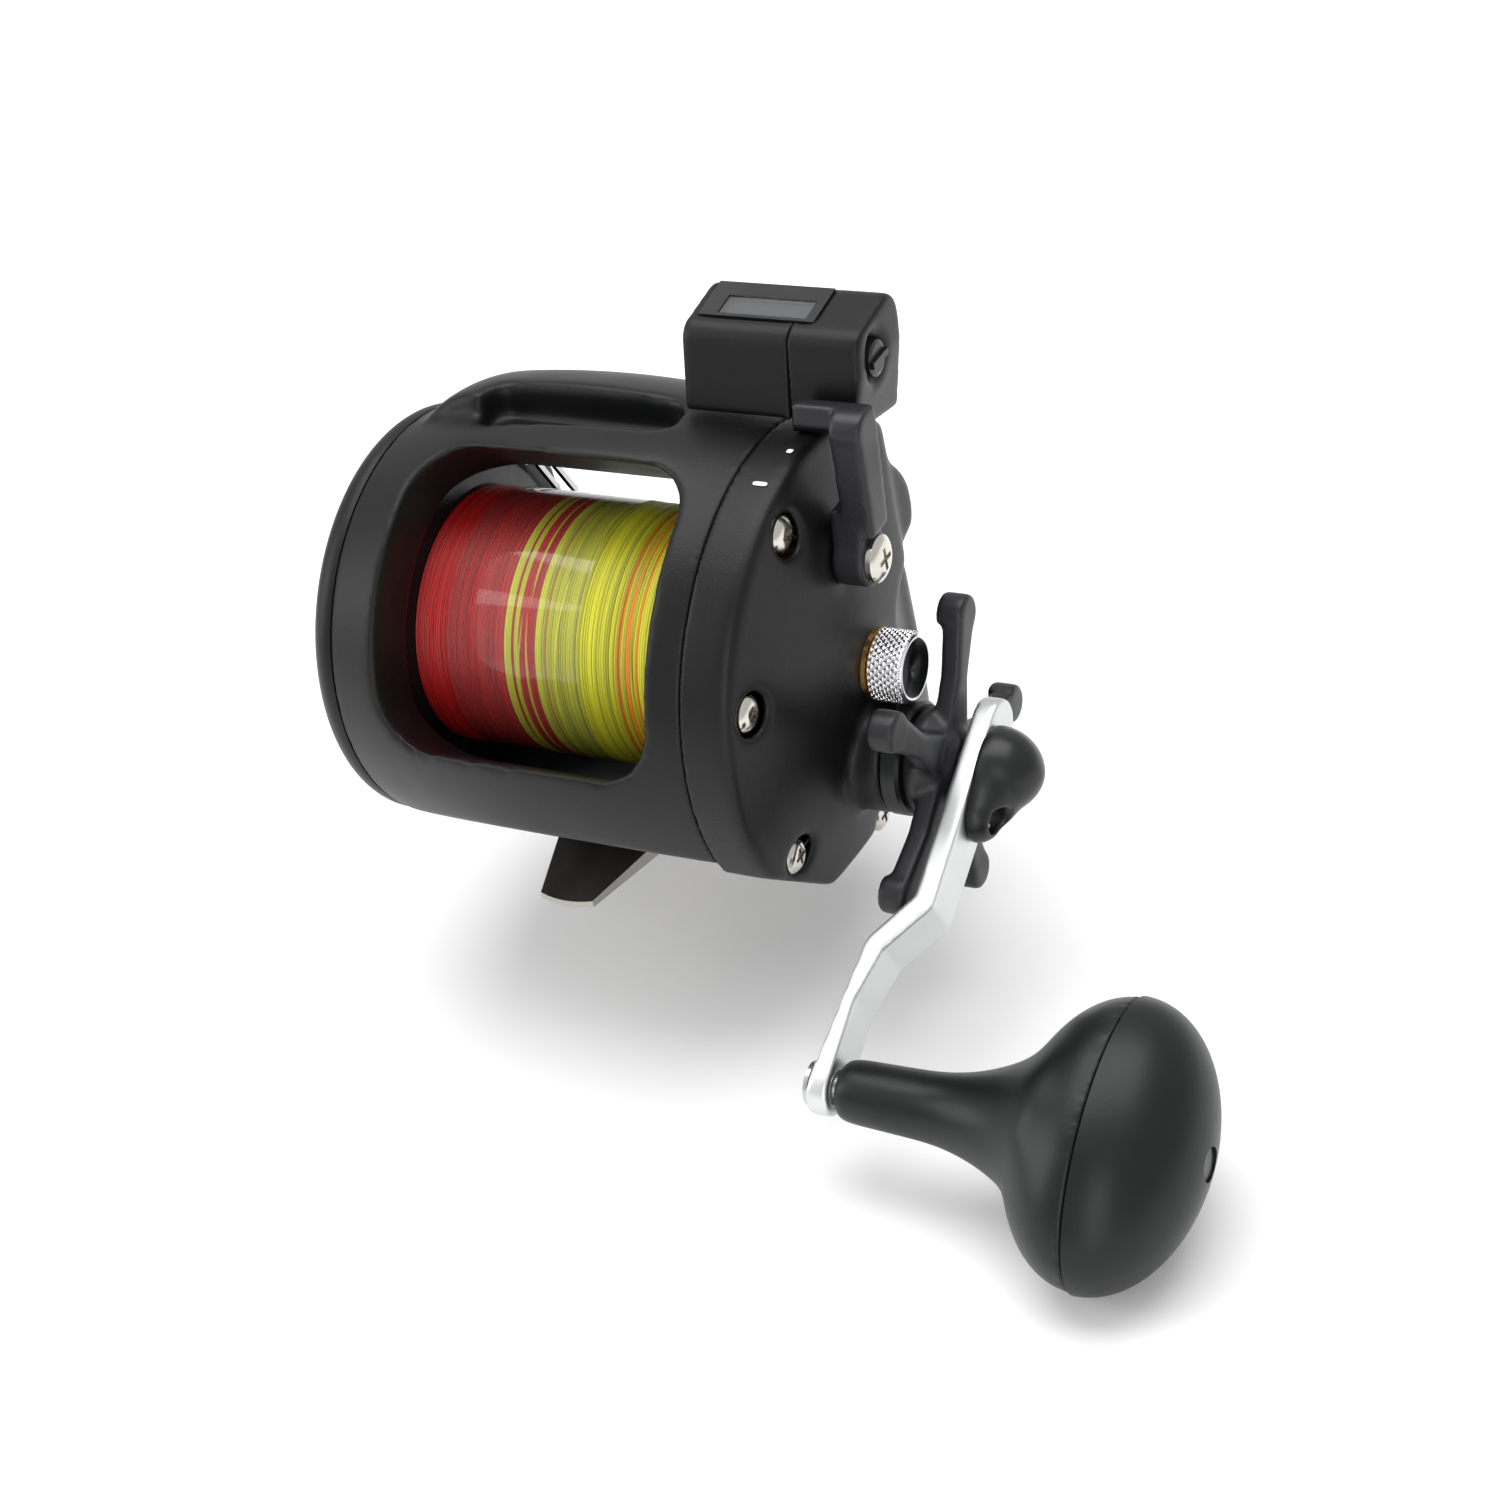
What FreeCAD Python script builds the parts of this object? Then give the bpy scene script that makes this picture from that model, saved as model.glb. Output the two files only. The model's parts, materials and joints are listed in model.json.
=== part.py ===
import FreeCAD, Part
import math
import os
import re
import Sketcher

# A right-handed trolling reel with a line counter.
# Millimetres, +Z up, +Y toward the rod tip, +X toward the handle.
# The origin is the centre of the reel foot's underside.

Vector = FreeCAD.Vector
os.makedirs("parts", exist_ok=True)
doc = FreeCAD.newDocument("trolling_reel")

# ---------------------------------------------------------------- driving sizes
SIZES = {
    "spool_height": 34.0,       # spool axis above the foot's underside
    "left_seam": -31.2,         # where the left plate meets the frame
    "right_seam": 34.1,         # where the right plate meets the frame
    "left_radius": 34.0,
    "right_radius": 38.0,
    "belly_radius": 39.6,       # widest radius of the frame's barrel
    "belly_x": 5.0,
    "bore_radius": 26.2,        # bore the spool turns in
    "flange_radius": 25.2,
    "line_radius": 21.3,
    "line_left": -24.0,
    "line_right": 24.6,
    "plate_rim": 42.2,          # where the right plate's rim turns into its dome
    "dome_top": 47.6,
    "slope_x": 56.4,            # where the front slope, leaning 30 degrees, crosses the spool axis
    "spool_shaft_radius": 1.5,
    "drive_rear": 3.7,          # drive shaft axis, behind and below the spool axis
    "drive_drop": 14.65,
    "drive_shaft_radius": 2.5,
    "boss_radius": 9.15,
    "boss_end": 52.0,
    "cap_end": 54.9,
    "star_reach": 26.5,
    "arm_inner": 62.8,          # inner face of the handle arm at its hub
    "arm_thick": 3.7,
    "arm_wide": 9.0,
    "arm_length": 54.7,
    "arm_joggle": 7.7,          # how far the arm steps in toward the side plate
    "arm_slope": 27.0,          # degrees below the rear horizontal
    "worm_reach": 30.5,         # worm axis from the spool axis
    "worm_slope": 32.0,         # degrees below the front horizontal
    "guide_radius": 3.4,
    "guide_rest": -24.4,        # the line guide rests at the left end of its travel
    "lever_y": -0.7,
    "lever_z": 54.4,
    "counter_y": 13.4,
    "counter_z": 80.6,
    "counter_left": 19.8,
    "counter_seam": 38.0,
    "counter_right": 49.8,
    "foot_top": 2.2,
    "foot_end": 29.65,
    "foot_end_half": 4.9,
    "foot_half": 9.0,
}

sheet = doc.addObject("Spreadsheet::Sheet", "Sizes")
for row, (alias, amount) in enumerate(SIZES.items(), start=1):
    sheet.set("A%d" % row, alias)
    sheet.set("B%d" % row, str(amount))
    sheet.setAlias("B%d" % row, alias)
doc.recompute()

nodes = []


def bound(text):
    """An expression with every size name pointed at the sheet."""
    return re.sub(r"[a-z_]+", lambda word: "Sizes." + word.group() if word.group() in SIZES
                  else word.group(), str(text))


def number(text):
    """The present value of an expression."""
    return float(sheet.evalExpression(bound(text)))


def place(item, x=0, y=0, z=0, axis=(1, 0, 0), angle=0):
    """Turn an object about an axis and bind where it stands."""
    item.Placement = FreeCAD.Placement(Vector(), FreeCAD.Rotation(Vector(*axis), angle))
    for name, amount in zip("xyz", (x, y, z)):
        item.setExpression("Placement.Base." + name, bound(amount))
    return item


def keep(item, label=None):
    """Mark a finished sub-part for export under its own label."""
    if label:
        item.Label = label
    nodes.append(item)
    return item


# ---------------------------------------------------------------- sketch helpers
def origin_item(body, role):
    return next(item for item in body.Origin.OriginFeatures if item.Role == role)


def new_sketch(body, plane):
    sketch = body.newObject("Sketcher::SketchObject", body.Name + "_outline")
    sketch.AttachmentSupport = [(origin_item(body, plane), "")]
    sketch.MapMode = "FlatFace"
    return sketch


def pin_point(sketch, element, end, point):
    """Bind one point of a sketch to two expressions."""
    for kind, amount in zip(("DistanceX", "DistanceY"), point):
        rule = Sketcher.Constraint(kind, element, end, number(amount))
        index = sketch.addConstraint(rule)
        sketch.setExpression("Constraints[%d]" % index, bound(amount))


def draw_outline(sketch, points):
    """Close an outline. A point is (x, y), or (middle, end) for an arc that ends there."""
    ends = [point[1] if isinstance(point[0], tuple) else point for point in points]
    first = sketch.GeometryCount
    for index, point in enumerate(points):
        start = Vector(number(ends[index - 1][0]), number(ends[index - 1][1]), 0)
        end = Vector(number(ends[index][0]), number(ends[index][1]), 0)
        if isinstance(point[0], tuple):
            middle = Vector(number(point[0][0]), number(point[0][1]), 0)
            sketch.addGeometry(Part.Arc(start, middle, end))
        else:
            sketch.addGeometry(Part.LineSegment(start, end))
    count = len(points)
    for index, point in enumerate(points):
        here = first + index
        after = first + (index + 1) % count
        tail = nearer_end(sketch, here, ends[index])
        head = nearer_end(sketch, after, ends[index])
        sketch.addConstraint(Sketcher.Constraint("Coincident", here, tail, after, head))
        pin_point(sketch, here, tail, ends[index])
        if isinstance(point[0], tuple):
            mark = sketch.addGeometry(Part.Point(Vector(number(point[0][0]), number(point[0][1]), 0)))
            sketch.setConstruction(mark, True)
            sketch.addConstraint(Sketcher.Constraint("PointOnObject", mark, 1, here))
            pin_point(sketch, mark, 1, point[0])


def nearer_end(sketch, element, point):
    target = Vector(number(point[0]), number(point[1]), 0)
    gaps = [(sketch.getPoint(element, end) - target).Length for end in (1, 2)]
    return 1 if gaps[0] < gaps[1] else 2


def draw_circle(sketch, x, y, radius):
    circle = sketch.addGeometry(Part.Circle(Vector(number(x), number(y), 0), Vector(0, 0, 1),
                                            number(radius)))
    index = sketch.addConstraint(Sketcher.Constraint("Radius", circle, number(radius)))
    sketch.setExpression("Constraints[%d]" % index, bound(radius))
    pin_point(sketch, circle, 3, (x, y))


# ---------------------------------------------------------------- solid helpers
def turned(name, points, y=0, z="spool_height", x=0):
    """A solid turned about an axis parallel to X. The points are (x, radius)."""
    body = doc.addObject("PartDesign::Body", name)
    sketch = new_sketch(body, "XY_Plane")
    draw_outline(sketch, points)
    spin = body.newObject("PartDesign::Revolution", name + "_turned")
    spin.Profile = sketch
    spin.ReferenceAxis = (origin_item(body, "X_Axis"), [""])
    spin.Angle = 360
    sketch.Visibility = False
    return place(body, x, y, z)


def tube(name, start, end, inner, outer, y=0, z="spool_height"):
    """A plain tube or disc along X."""
    return turned(name, [(start, inner), (end, inner), (end, outer), (start, outer)], y, z)


def plate(name, points, start, thick, y=0, z=0, holes=(), plane="YZ_Plane", axis=(1, 0, 0), angle=0):
    """A flat outline padded along X (or along Z when it is drawn on the XY plane)."""
    body = doc.addObject("PartDesign::Body", name)
    sketch = new_sketch(body, plane)
    draw_outline(sketch, points)
    for hole in holes:
        draw_circle(sketch, *hole)
    pad = body.newObject("PartDesign::Pad", name + "_pad")
    pad.Profile = sketch
    pad.setExpression("Length", bound(thick))
    sketch.Visibility = False
    return place(body, start, y, z, axis, angle)


def rod(name, start, length, radius, y=0, z="spool_height"):
    """A cylinder along X."""
    item = doc.addObject("Part::Cylinder", name)
    item.setExpression("Radius", bound(radius))
    item.setExpression("Height", bound(length))
    return place(item, start, y, z, (0, 1, 0), 90)


def block(name, x, y, z, long_x, long_y, long_z, axis=(1, 0, 0), angle=0):
    item = doc.addObject("Part::Box", name)
    item.setExpression("Length", bound(long_x))
    item.setExpression("Width", bound(long_y))
    item.setExpression("Height", bound(long_z))
    return place(item, x, y, z, axis, angle)


def fuse(name, *items):
    joined = doc.addObject("Part::MultiFuse", name)
    joined.Shapes = list(items)
    joined.Refine = True
    return joined


def cut(name, base, *tools):
    result = doc.addObject("Part::Cut", name)
    result.Base = base
    result.Tool = tools[0] if len(tools) == 1 else fuse(name + "_tools", *tools)
    return result


def shared(name, *items):
    result = doc.addObject("Part::MultiCommon", name)
    result.Shapes = list(items)
    return result


def group(name, items):
    bundle = doc.addObject("Part::Compound", name)
    bundle.Links = list(items)
    return bundle


def radial_box(name, start, long_x, wide, reach, tall, direction, y=0, z="spool_height"):
    """A block standing off an axis parallel to X, beyond `reach`, in a direction.

    The direction is in degrees from the rear horizontal, positive upward."""
    lean = math.radians(direction)
    outward = (-math.cos(lean), math.sin(lean))
    across = (-math.sin(lean), -math.cos(lean))
    half = number(wide) / 2
    base_y = number(y) + outward[0] * number(reach) + across[0] * half
    base_z = number(z) + outward[1] * number(reach) + across[1] * half
    return block(name, start, base_y, base_z, long_x, wide, tall, (1, 0, 0), 90 - direction)


def polar(reach, direction):
    """Offsets (y, z) from the spool axis, the direction measured from the rear horizontal."""
    lean = math.radians(direction)
    return -reach * math.cos(lean), reach * math.sin(lean)


def at_spool(reach, direction):
    """The same point in the model's own Y and Z."""
    y, z = polar(reach, direction)
    return y, z + number("spool_height")


def pan_screw(name, x, y, z, head_radius, head_tall, shank_radius, shank_long):
    """A pan-head screw lying along X, its head toward +X and its seat at x."""
    body = turned(name, [(0, 0), (-shank_long, 0), (-shank_long, shank_radius), (0, shank_radius),
                         (0, head_radius), (head_tall * 0.5, head_radius),
                         ((head_tall * 0.88, head_radius * 0.72), (head_tall, head_radius * 0.3)),
                         (head_tall, 0)], y, z, x)
    slots = [block("%s_slot_%d" % (name, turn), x + head_tall * 0.55,
                   y + (-head_radius * 0.5 if turn else -head_radius * 0.11),
                   z + (-head_radius * 0.11 if turn else -head_radius * 0.5),
                   head_tall, head_radius * (1.0 if turn else 0.22), head_radius * (0.22 if turn else 1.0))
             for turn in (0, 1)]
    return cut(name + "_driven", body, *slots)


# ---------------------------------------------------------------- gears
def gear_outline(teeth, module, phase):
    """A closed straight-flanked tooth outline, one tooth centred at `phase` radians."""
    pitch_radius = teeth * module / 2
    tooth_angle = 2 * math.pi / teeth
    corners = ((-0.36, -1.2), (-0.21, 0.0), (-0.10, 0.8), (0.10, 0.8), (0.21, 0.0), (0.36, -1.2))
    points = []
    for tooth in range(teeth):
        middle = phase + tooth * tooth_angle
        for turn, depth in corners:
            lean = middle + turn * tooth_angle
            reach = pitch_radius + depth * module
            points.append(Vector(0, reach * math.cos(lean), reach * math.sin(lean)))
    return points + points[:1]


def gear(name, teeth, module, start, thick, centre, phase, bore):
    """A spur gear about an axis parallel to X through centre (y, z)."""
    face = Part.Face(Part.makePolygon(gear_outline(teeth, module, phase)))
    solid = face.extrude(Vector(thick, 0, 0))
    solid = solid.cut(Part.makeCylinder(bore, thick + 2, Vector(-1, 0, 0), Vector(1, 0, 0)))
    item = doc.addObject("Part::Feature", name)
    item.Shape = solid
    item.Placement = FreeCAD.Placement(Vector(start, *centre), FreeCAD.Rotation())
    return item


def bearing_of(origin, target):
    return math.atan2(target[1] - origin[1], target[0] - origin[0])


def meshed_phase(teeth, centre, phase, other_teeth, other_centre):
    """The phase that puts a gap of the other gear over a tooth of this one."""
    line = bearing_of(centre, other_centre)
    return line + math.pi + (math.pi - (phase - line) * teeth) / other_teeth


def meeting_point(one, one_reach, two, two_reach, side):
    """The point at given distances from two others, on the chosen side of their line."""
    span = math.dist(one, two)
    along = (one_reach ** 2 - two_reach ** 2 + span ** 2) / (2 * span)
    off = math.sqrt(one_reach ** 2 - along ** 2) * side
    unit = ((two[0] - one[0]) / span, (two[1] - one[1]) / span)
    return one[0] + unit[0] * along - unit[1] * off, one[1] + unit[1] * along + unit[0] * off


SPOOL = (0.0, number("spool_height"))
DRIVE = (-number("drive_rear"), number("spool_height - drive_drop"))
WORM = at_spool(number("worm_reach"), 180 + number("worm_slope"))
LEVER = (number("lever_y"), number("lever_z"))
COUNTER = (number("counter_y"), number("counter_z"))
GUIDE_BAR = at_spool(31.0, 186)
KNOB = (DRIVE[0] - number("arm_length") * math.cos(math.radians(number("arm_slope"))),
        DRIVE[1] - number("arm_length") * math.sin(math.radians(number("arm_slope"))))
PLATE_SCREWS = [at_spool(32.0, direction) for direction in (109, 70, 20, -37, -93)]
GEAR_LOBE = (18.6, 46.2)
YOKE_POSTS = [at_spool(side * 9.0, 201.2) for side in (-1, 1)]
LEFT_SCREWS = [at_spool(28.5, direction) for direction in (60, 150, -30, -120)]


# ---------------------------------------------------------------- frame and foot
def lower_flats(name, rear_reach, bottom_reach):
    """Three blocks that take the round outline's lower side down to flats."""
    return [radial_box("%s_flat_%d" % (name, index), -60, 130, 90, reach, 30, direction)
            for index, (direction, reach) in enumerate(
                ((-49, rear_reach), (-90, bottom_reach), (-131, rear_reach)))]


def window_tool(name, left, right, half_tall, round_radius, direction):
    """A round-cornered prism that opens the barrel in one direction."""
    r, w = round_radius, half_tall
    k = r * (1 - math.sqrt(0.5))
    points = [(right - r, -w), ((right - k, -w + k), (right, -w + r)),
              (right, w - r), ((right - k, w - k), (right - r, w)), (left + r, w),
              ((left + k, w - k), (left, w - r)), (left, -w + r), ((left + k, -w + k), (left + r, -w))]
    return plate(name, points, 0, 60, 0, "spool_height", plane="XY_Plane", angle=90 - direction)


SLOT_DIRECTION = 95.7


def thumb_slot():
    """The long shallow recess in the top bar."""
    tool = window_tool("thumb_slot", -16.5, 19.3, 4.2, 4.0, SLOT_DIRECTION)
    keep_out = radial_box("slot_floor", -30, 60, 60, -40, 74.5, SLOT_DIRECTION)
    return cut("thumb_slot_tool", tool, keep_out)


def make_frame():
    barrel = turned("barrel", [("left_seam", "bore_radius"), ("left_seam", "left_radius"),
                               (("belly_x", "belly_radius"), ("right_seam", "right_radius")),
                               ("right_seam", "bore_radius")])
    bar_rear = radial_box("bar_rear", -40, 80, 25, 20, 30, 128)
    bar_front = radial_box("bar_front", -40, 59.3, 13, 20, 30, 104)
    bar = turned("bar_turned", [(-27.5, 30), (-27.5, 35.6), ((-23.5, 38.7), (-18, 40.4)),
                                ((5, 41.2), (33, 38)), (33, 30)])
    top_bar = shared("top_bar", bar, fuse("bar_zone", bar_rear, bar_front))
    windows = [window_tool("rear_window", -21.5, 28, 24, 9, 40),
               window_tool("front_window", -28.4, 28, 22, 5, 186)]
    worm_hole = rod("worm_hole", -40, 90, "guide_radius + 0.04", *WORM)
    bar_hole = rod("bar_hole", -30.2, 62, 1.54, *GUIDE_BAR)
    shank_holes = [rod("frame_thread_%d" % index, 27, 20, 1.02, *spot)
                   for index, spot in enumerate(PLATE_SCREWS)]
    shank_holes += [rod("left_thread_%d" % index, -40, 16, 0.92, *spot)
                    for index, spot in enumerate(LEFT_SCREWS)]
    foot_holes = [foot_screw_hole("frame_foot_hole", side, end, 0.92) for side, end in FOOT_SCREWS]
    return keep(cut("frame", fuse("frame_body", barrel, top_bar), *windows, thumb_slot(),
                    worm_hole, bar_hole, *shank_holes, *foot_holes, waist("frame_waist", 8.0),
                    *lower_flats("frame", 34.3, "spool_height - foot_top")))


FOOT_SCREWS = [(side, end) for side in (-5, 5) for end in (-9, 9)]


def foot_screw_hole(name, side, end, radius):
    item = doc.addObject("Part::Cylinder", name)
    item.Radius = radius
    item.Height = 8
    return place(item, side, end, -1)


def make_foot():
    half, tip = "foot_half", "foot_end_half"
    plan = plate("foot_plan", [("-" + tip, "-foot_end"), (("0", "-foot_end - 0.9"), (tip, "-foot_end")),
                               (half, "-15"), (half, "15"), (tip, "foot_end"),
                               (("0", "foot_end + 0.9"), ("-" + tip, "foot_end")),
                               ("-" + half, "15"), ("-" + half, "-15")], 0, 3, plane="XY_Plane")
    side = plate("foot_side", [(-31, 0), (31, 0), (31, 1.1), (17, "foot_top"), (-17, "foot_top"),
                               (-31, 1.1)], -12, 24)
    blank = shared("foot_blank", plan, side)
    holes = []
    for index, (side_x, end_y) in enumerate(FOOT_SCREWS):
        holes.append(foot_screw_hole("foot_hole_%d" % index, side_x, end_y, 1.1))
        sink = doc.addObject("Part::Cone", "foot_sink_%d" % index)
        sink.Radius1, sink.Radius2, sink.Height = 2.22, 1.1, 1.12
        holes.append(place(sink, side_x, end_y, 0))
    keep(cut("reel_foot", blank, *holes))
    screws = []
    for index, (side_x, end_y) in enumerate(FOOT_SCREWS):
        head = doc.addObject("Part::Cone", "foot_screw_head_%d" % index)
        head.Radius1, head.Radius2, head.Height = 2.1, 0.9, 1.2
        place(head, side_x, end_y, 0.05)
        shank = doc.addObject("Part::Cylinder", "foot_screw_shank_%d" % index)
        shank.Radius, shank.Height = 0.9, 5.4
        place(shank, side_x, end_y, 0.6)
        screws.append(fuse("foot_screw_%d" % index, head, shank))
    keep(group("foot_screws", screws))


# ---------------------------------------------------------------- side plates
def make_left_plate():
    shell = turned("left_shell", [
        (-39.2, 0), (-39.2, 7), ((-38.4, 22), (-35.4, 32.2)), ((-33.9, 33.7), ("left_seam", "left_radius")),
        ("left_seam", 32.2), (-34.0, 31.6), (-36.8, 22), (-37.4, 7), (-29.6, 7), (-29.6, 5.0),
        (-33.6, 5.0), (-33.6, 2.0), (-36.2, 2.0), (-36.2, 0)])
    posts = [rod("left_post_%d" % index, -37.0, "left_seam + 37.0", 2.4, *spot)
             for index, spot in enumerate(LEFT_SCREWS)]
    pockets = [rod("left_pocket_%d" % index, -45, 10.2, 2.5, *spot)
               for index, spot in enumerate(LEFT_SCREWS)]
    holes = [rod("left_hole_%d" % index, -45, 20, 1.0, *spot)
             for index, spot in enumerate(LEFT_SCREWS)]
    slot = radial_box("clicker_slot", -41, 6, 3.4, 13, 8.6, 180)
    body = cut("left_plate_body", fuse("left_plate_raw", shell, *posts), *pockets, *holes, slot)
    keep(cut("left_side_plate", body, *lower_flats("left", 60, "spool_height - 1")))
    screws = []
    for index, (y, z) in enumerate(LEFT_SCREWS):
        screw = pan_screw("left_plate_screw_%d" % index, 0, 0, 0, 2.3, 1.5, 0.9, 8)
        screw.Placement = FreeCAD.Placement(Vector(-34.8, y, z), FreeCAD.Rotation(Vector(0, 0, 1), 180))
        screws.append(screw)
    keep(group("left_plate_screws", screws))


def dome(name, grow=0.0):
    """The right plate's outside as a solid, optionally a little larger."""
    top, rim = "dome_top + %g" % grow, "plate_rim + %g" % grow
    radius = "right_radius + %g" % grow
    return turned(name, [
        ("right_seam", 0), ("right_seam", radius), (rim + " - 1.4", radius + " - 0.1"),
        ((rim + " - 0.1", radius + " - 0.7"), (rim + " + 0.4", radius + " - 2.2")),
        ((45.8 + grow, 21), (top, 6)), (top, 0)])


SLOPE_LEAN = math.radians(30)
SLOPE_OUT = Vector(math.cos(SLOPE_LEAN), math.sin(SLOPE_LEAN), 0)
SLOPE_ALONG = Vector(-math.sin(SLOPE_LEAN), math.cos(SLOPE_LEAN), 0)
WAIST_REACH = 53.7


def front_slope(name, inset=0.0):
    """A block beyond the slope that trims the right plate toward the rod tip."""
    item = doc.addObject("Part::Box", name)
    item.Length, item.Width, item.Height = 40, 80, 140
    corner = SLOPE_OUT * (number("slope_x") * math.cos(SLOPE_LEAN) - inset) - SLOPE_ALONG * 40
    item.Placement = FreeCAD.Placement(corner + Vector(0, 0, -30), FreeCAD.Rotation(Vector(0, 0, 1), 30))
    return item


def waist(name, radius):
    """A round bar lying along the slope; it leaves the waist under the gear housing."""
    item = doc.addObject("Part::Cylinder", name)
    item.Radius, item.Height = radius, 80
    start = SLOPE_OUT * WAIST_REACH - SLOPE_ALONG * 40 + Vector(0, 0, number("spool_height"))
    spin = FreeCAD.Rotation(Vector(0, 0, 1), 30).multiply(FreeCAD.Rotation(Vector(1, 0, 0), -90))
    item.Placement = FreeCAD.Placement(start, spin)
    return item


def make_right_plate():
    outside = cut("plate_outside", dome("plate_dome"), front_slope("plate_slope"),
                  *lower_flats("plate", 35.5, "spool_height - 1"))
    cavity = turned("plate_cavity_turned", [
        (30, 0), (30, 36.2), (40.4, 36.0), (41.2, 34.6), (43.4, 25), (45.0, 16), (46.3, 7), (46.3, 0)])
    cavity = cut("plate_cavity", cavity, front_slope("cavity_slope", 1.5), waist("cavity_waist", 9.5),
                 *lower_flats("cavity", 33.7, "spool_height - 3"))
    lobe = rod("gear_lobe", "right_seam", 43.5 - 34.1, 10.2, *GEAR_LOBE)
    lobe_inside = rod("gear_lobe_inside", 30, 12, 8.8, *GEAR_LOBE)
    shell = cut("plate_shell", fuse("plate_outside_lobed", outside, lobe), cavity, lobe_inside,
                waist("plate_waist", 8.0))
    posts = [rod("plate_post_%d" % index, "right_seam", 7.4, 2.7, *spot)
             for index, spot in enumerate(PLATE_SCREWS)]
    posts += [rod("yoke_post_%d" % index, 42.3, 4.4, 0.8, *spot) for index, spot in enumerate(YOKE_POSTS)]
    drive_boss = rod("drive_boss", 43.6, "boss_end - 43.6", "boss_radius", *DRIVE)
    knob_boss = rod("knob_boss", 46.4, 5.0, 4.9)
    lever_boss = rod("lever_boss", 43.4, 2.6, 5.2, *LEVER)
    solid = fuse("plate_solid", shell, *posts, drive_boss, knob_boss, lever_boss)
    pockets = [rod("screw_pocket_%d" % index, 41.5, 10, 3.3, *spot)
               for index, spot in enumerate(PLATE_SCREWS)]
    holes = [rod("screw_hole_%d" % index, 30, 20, 1.15, *spot)
             for index, spot in enumerate(PLATE_SCREWS)]
    bores = [rod("drive_bore", 43, 20, 7.45, *DRIVE), rod("drive_step", 40, 20, 4.9, *DRIVE),
             rod("spool_bore", 40, 20, 1.9), rod("bearing_bore", 48.0, 10, 4.02),
             rod("lever_bore", 40, 20, 1.54, *LEVER), rod("lever_recess", 46.02, 8, 5.3, *LEVER)]
    gear_openings = [rod(name + "_opening", 39.9, 2.1, GEARS[name][0] * 0.25 + 0.8, *GEARS[name][1])
                     for name in ("lift_gear", "turn_gear", "neck_gear")]
    keep(cut("right_side_plate", solid, *pockets, *holes, *bores, *gear_openings, *pin_holes("plate")))
    screws = [pan_screw("right_plate_screw_%d" % index, 41.52, y, z, 2.9, 1.8, 1.0, 13)
              for index, (y, z) in enumerate(PLATE_SCREWS)]
    keep(group("right_plate_screws", screws))


# ---------------------------------------------------------------- gear train
def plan_gears():
    """Teeth, centre and phase of every gear, each one meshed with the gear before it."""
    drive_module = 2 * math.dist(SPOOL, DRIVE) / (12 + 52)
    plan = {"pinion": (12, SPOOL, bearing_of(SPOOL, DRIVE), drive_module)}

    def mesh(name, teeth, centre, previous, module=0.5):
        """Add a gear meshed with one that is already in the plan."""
        other_teeth, other_centre, other_phase, _ = plan[previous]
        phase = meshed_phase(other_teeth, other_centre, other_phase, teeth, centre)
        plan[name] = (teeth, centre, phase, module)

    mesh("main_gear", 52, DRIVE, "pinion", drive_module)
    plan["spool_gear"] = (12, SPOOL, 0.0, 0.5)
    mesh("worm_idler", 47, at_spool(14.75, 180 + number("worm_slope")), "spool_gear")
    mesh("worm_gear", 16, WORM, "worm_idler")
    idler = plan["worm_idler"][1]
    mesh("rise_low", 34, (idler[0] + 2.4, idler[1] + math.sqrt(20.25 ** 2 - 2.4 ** 2)), "worm_idler")
    rise = plan["rise_low"][1]
    neck = (COUNTER[0] + 1.6, COUNTER[1] - math.sqrt(8.5 ** 2 - 1.6 ** 2))
    turn = meeting_point(neck, 8.0, PLATE_SCREWS[0], 7.3, 1)
    plan["rise_high"] = (36, rise, 0.0, 0.5)
    mesh("lift_gear", 12, meeting_point(rise, 12.0, turn, 7.0, -1), "rise_high")
    mesh("turn_gear", 16, turn, "lift_gear")
    mesh("neck_gear", 16, neck, "turn_gear")
    mesh("counter_gear", 18, COUNTER, "neck_gear")
    return plan


GEARS = plan_gears()


UPPER_PINS = ("turn_gear", "neck_gear")


def pin_holes(name):
    """Holes that hold the outer ends of the two upper idler pins."""
    return [rod("%s_%s_pin" % (name, gear_name), 39, 3.8, 1.0, *GEARS[gear_name][1])
            for gear_name in UPPER_PINS]


def make_gears():
    """The gears of the drive, of the level wind and of the counter."""
    def one(name, start, thick, bore, planned=None):
        teeth, centre, phase, module = GEARS[planned or name]
        return gear(name, teeth, module, start, thick, centre, phase, bore)

    teeth = one("pinion_teeth", 37.6, 4.8, 1.54, "pinion")
    tail = tube("pinion_tail", 42.4, 44.6, 1.54, 2.2)
    collar = tube("pinion_collar", 44.0, 44.6, 1.54, 3.4)
    keep(fuse("pinion_gear", teeth, tail, collar))
    keep(one("main_gear", 37.7, 4.0, 2.53))
    keep(one("spool_gear", 35.5, 1.3, 1.51))
    keep(one("worm_idler", 35.5, 1.3, 1.03))
    keep(one("worm_gear", 35.5, 1.3, 1.01))
    rise = GEARS["rise_low"][1]
    hub = tube("rise_hub", 36.8, 40.3, 1.03, 2.5, *rise)
    keep(fuse("rise_gear", one("rise_low", 35.5, 1.3, 1.03), hub, one("rise_high", 40.3, 1.3, 1.03)))
    for name in ("lift_gear", "turn_gear", "neck_gear"):
        keep(one(name, 40.3, 1.3, 1.03))
    pins = [rod("idler_pin", 34.2, 3.0, 1.0, *GEARS["worm_idler"][1])]
    pins += [rod(name + "_pin", 34.2, 7.6, 1.0, *GEARS[name][1]) for name in ("rise_low", "lift_gear")]
    pins += [rod(name + "_pin", 39.3, 3.4, 1.0, *GEARS[name][1]) for name in UPPER_PINS]
    keep(group("gear_pins", pins))


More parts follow.
